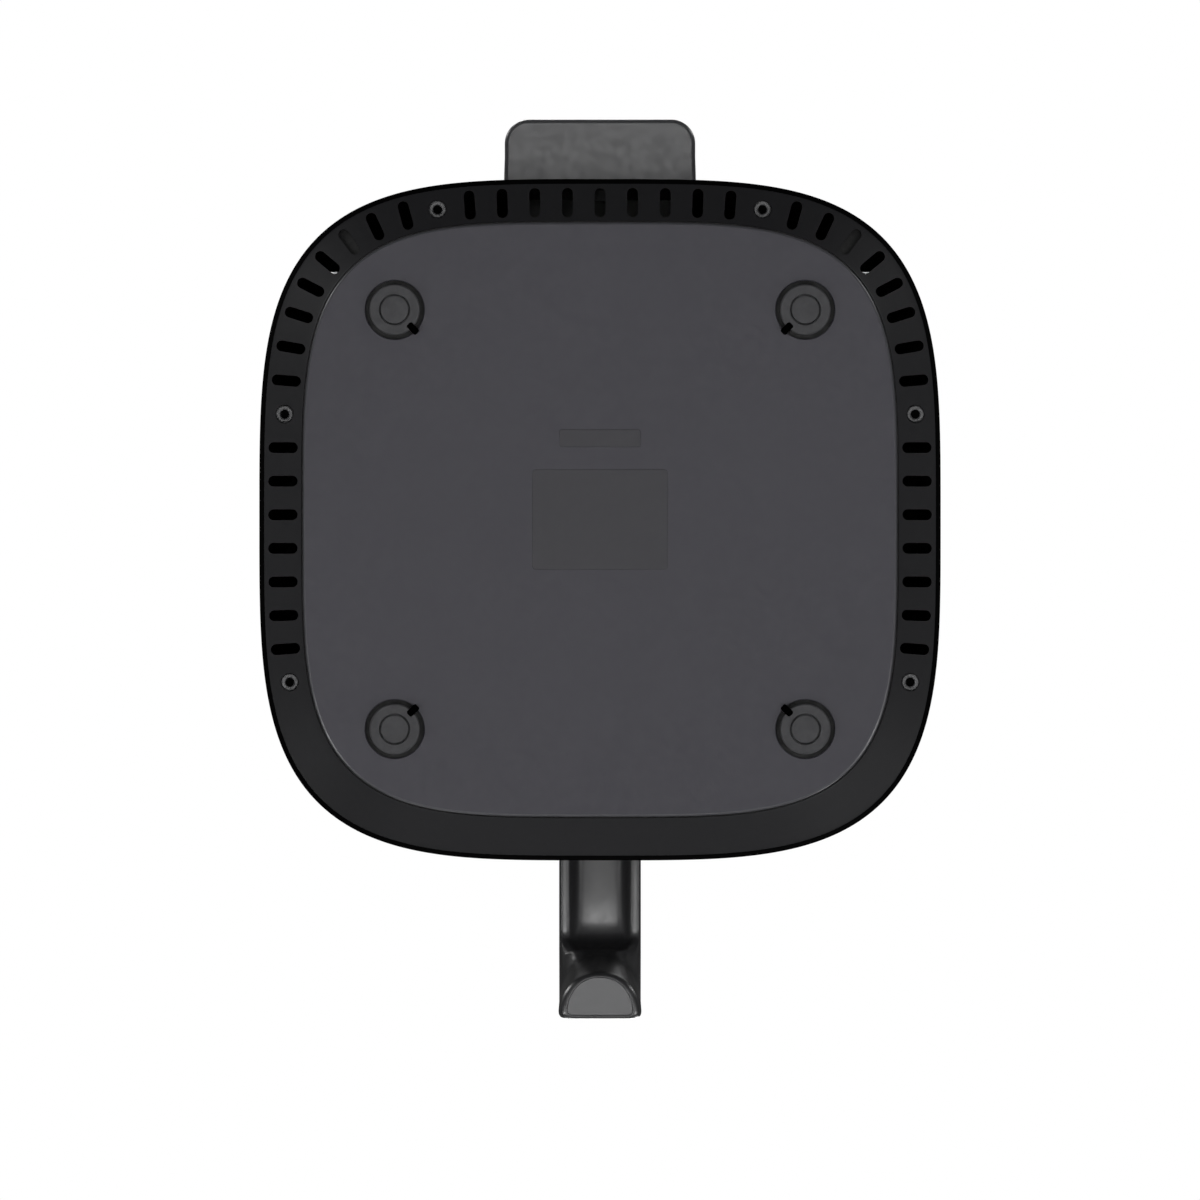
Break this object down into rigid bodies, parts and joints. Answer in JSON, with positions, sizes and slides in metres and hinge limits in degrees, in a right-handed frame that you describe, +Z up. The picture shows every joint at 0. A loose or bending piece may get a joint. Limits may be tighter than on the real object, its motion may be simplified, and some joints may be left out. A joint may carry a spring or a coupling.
{
  "type": "air fryer",
  "caption": "Countertop air fryer with a squircle housing, pull-out drawer with pan and lift-out crisper plate, vented base ring, rear exhaust hood and top control dial.",
  "frame": {"origin": "bottom centre of the whole outline, on the plane that the feet stand on; the housing's upright axis is 17.8 mm behind it, towards +Y", "axes": "+Z up, the drawer and its handle face -Y, the exhaust hood faces +Y, +X is to the right of someone facing the drawer"},
  "size_m": [0.252, 0.3364, 0.304],
  "materials": {
    "base_plastic": "fine moulded grain",
    "vent_ring_plastic": "satin moulded",
    "screw_steel": "blackened",
    "label_film": "blank satin film",
    "foot_rubber": "moulded",
    "inner_steel": "zinc plated",
    "housing_plastic": "fine spark-eroded grain",
    "frame_plastic": "satin moulded",
    "hood_plastic": "satin moulded",
    "grommet_rubber": "moulded",
    "chamber_steel": "rolled sheet",
    "seal_silicone": "moulded silicone",
    "device_plastic": "moulded",
    "reflector_aluminium": "pressed",
    "heater_steel": "oxidised tube",
    "ceramic": "unglazed",
    "guard_wire": "plated wire",
    "sensor_steel": "drawn",
    "motor_steel": "plated",
    "bush_bronze": "sintered",
    "circuit_board": "solder resist",
    "capacitor_plastic": "moulded box",
    "transformer_core": "laminated",
    "terminal_plastic": "moulded",
    "wire_sheath": "silicone sheath",
    "panel_glass": "printed behind",
    "rotor_core": "laminated",
    "shaft_steel": "ground",
    "fan_aluminium": "pressed",
    "pan_coating": "speckled non-stick coating",
    "handle_plastic": "satin moulded",
    "dial_metal": "anodised, spun"
  },
  "bodies": {
    "housing": {"base_plate": "base_plastic", "base_ring": "vent_ring_plastic", "base_screws": "screw_steel", "rating_label": "label_film", "foot_front_left": "foot_rubber", "foot_front_right": "foot_rubber", "foot_rear_left": "foot_rubber", "foot_rear_right": "foot_rubber", "chamber_posts": "inner_steel", "front_shell": "housing_plastic", "rear_shell": "housing_plastic", "front_frame": "frame_plastic", "exhaust_hood": "hood_plastic", "exhaust_duct": "inner_steel", "cord_grommet": "grommet_rubber", "cooking_chamber": "chamber_steel", "chamber_seal": "seal_silicone", "drawer_rail_left": "inner_steel", "drawer_rail_right": "inner_steel", "drawer_switch": "device_plastic", "heat_reflector": "reflector_aluminium", "heating_element": "heater_steel", "heater_insulators": "ceramic", "element_guard": "guard_wire", "temperature_sensor": "sensor_steel", "thermal_cutoff": "ceramic", "motor_bracket": "inner_steel", "motor_housing": "motor_steel", "shaft_bushes": "bush_bronze", "power_board": "circuit_board", "relay": "device_plastic", "filter_capacitor": "capacitor_plastic", "transformer": "transformer_core", "terminal_block": "terminal_plastic", "wiring": "wire_sheath", "top_cover": "housing_plastic", "glass_panel": "panel_glass", "control_board": "circuit_board", "display_module": "device_plastic", "encoder_body": "sensor_steel"},
    "drawer": {"drawer_front": "housing_plastic", "drawer_inner_panel": "frame_plastic", "pan_bracket": "inner_steel", "frying_pan": "pan_coating", "handle": "handle_plastic", "handle_screws": "screw_steel"},
    "crisper": {"crisper_plate": "pan_coating", "plate_bumpers": "seal_silicone", "plate_lift_ring": "guard_wire"},
    "rotor": {"motor_rotor": "rotor_core", "motor_shaft": "shaft_steel", "cooling_fan": "device_plastic", "hot_air_fan": "fan_aluminium", "fan_nut": "bush_bronze"},
    "dial_button": {"dial_plunger": "device_plastic"},
    "dial": {"dial_shaft": "shaft_steel", "dial_knob": "dial_metal"}
  },
  "joints": [
    {"name": "drawer_slide", "type": "slide", "parent": "housing", "child": "drawer", "axis": [0, -1, 0], "range_m": [0, 0.24]},
    {"name": "crisper_lift", "type": "slide", "parent": "drawer", "child": "crisper", "axis": [0, 0, 1], "range_m": [0, 0.112]},
    {"name": "fan_spin", "type": "hinge", "parent": "housing", "child": "rotor", "pos_m": [0, 0.0178, 0.213], "axis": [0, 0, 1], "continuous": true},
    {"name": "dial_press", "type": "slide", "parent": "housing", "child": "dial_button", "axis": [0, 0, -1], "range_m": [0, 0.0008], "stiffness_N_per_m": 1500, "springref_m": -0.001},
    {"name": "dial_turn", "type": "hinge", "parent": "dial_button", "child": "dial", "pos_m": [0, -0.0122, 0.298], "axis": [0, 0, 1], "continuous": true}
  ]
}
